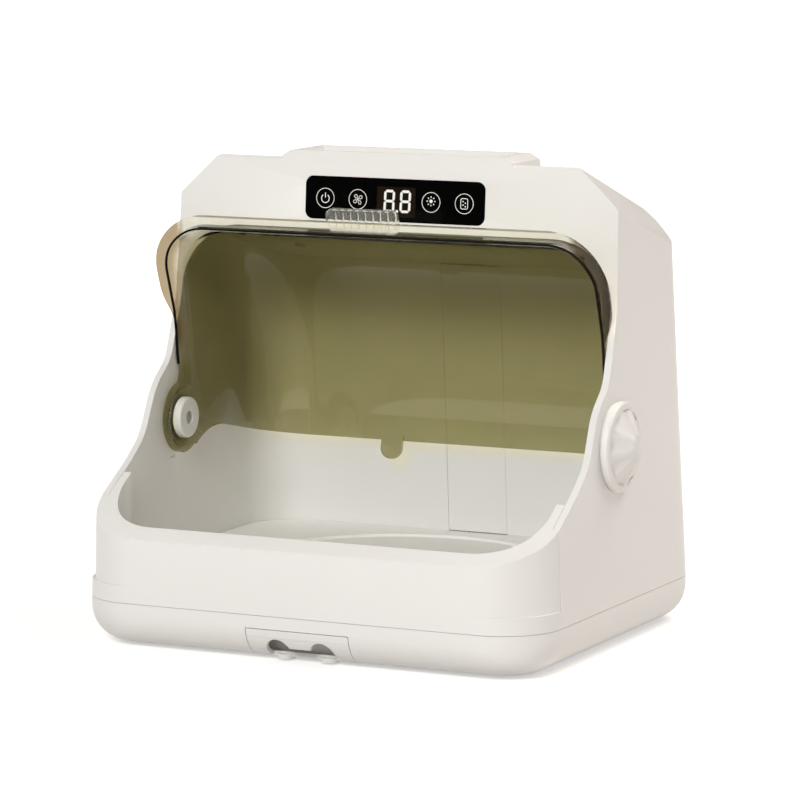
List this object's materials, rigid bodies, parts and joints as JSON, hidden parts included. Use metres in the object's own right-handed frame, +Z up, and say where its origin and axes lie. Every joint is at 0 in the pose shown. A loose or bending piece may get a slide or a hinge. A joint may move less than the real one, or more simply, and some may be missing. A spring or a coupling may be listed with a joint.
{
  "type": "baby bottle sterilizer",
  "caption": "Table-top bottle sterilizing and drying cabinet with a swing-up smoke-tinted visor, touch panel, roof tray and pull-out water tray.",
  "frame": {"origin": "on the ground under the middle of the base", "axes": "+Z up, front towards -Y, +X to the right seen from the front"},
  "size_m": [0.388, 0.308, 0.3436],
  "materials": {
    "white_abs": "satin moulded",
    "smoke_plastic": "smoke-tinted, see-through",
    "clear_plastic": "clear, polished",
    "black_acrylic": "polished",
    "black_plastic": "matte",
    "grey_plastic": "matte",
    "circuit_board": "solder mask",
    "heater_ceramic": "matte",
    "filter_foam": "open foam",
    "seal_rubber": "matte",
    "steel": "plain"
  },
  "bodies": {
    "cabinet": {"housing": "white_abs", "front_apron": "white_abs", "base_pan": "white_abs", "floor_plate": "white_abs", "air_grille": "white_abs", "ceiling_panel": "white_abs", "duct_cover": "white_abs", "panel_cable": "grey_plastic", "control_lens": "black_acrylic", "display_module": "black_plastic", "control_board": "circuit_board", "touch_springs": "steel", "interlock_switch": "black_plastic", "uv_window": "clear_plastic", "uv_board": "circuit_board", "main_board": "circuit_board", "power_inlet": "black_plastic", "blower_scroll": "grey_plastic", "blower_motor": "steel", "heater_duct": "grey_plastic", "heater_core": "heater_ceramic", "air_filter": "filter_foam", "filter_cover": "white_abs", "pivot_bush_left": "grey_plastic", "pivot_bush_right": "grey_plastic", "feet": "seal_rubber", "base_screws": "steel", "ceiling_screws": "steel"},
    "visor_assembly": {"visor": "smoke_plastic", "visor_seal": "seal_rubber", "visor_grip": "clear_plastic", "pivot_knob_left": "white_abs", "pivot_knob_right": "white_abs", "pivot_button_left": "white_abs", "pivot_button_right": "white_abs", "pivot_screws": "steel"},
    "tray": {"water_tray": "white_abs"},
    "fan": {"blower_wheel": "black_plastic", "motor_shaft": "steel"}
  },
  "joints": [
    {"name": "visor_swing", "type": "hinge", "parent": "cabinet", "child": "visor_assembly", "pos_m": [0, -0.006, 0.145], "axis": [1, 0, 0], "range_deg": [0, 101.5]},
    {"name": "tray_slide", "type": "slide", "parent": "cabinet", "child": "tray", "axis": [0, -1, 0], "range_m": [0, 0.085]},
    {"name": "fan_spin", "type": "hinge", "parent": "cabinet", "child": "fan", "pos_m": [-0.085, 0.03, 0.02], "axis": [0, 0, 1], "continuous": true}
  ]
}
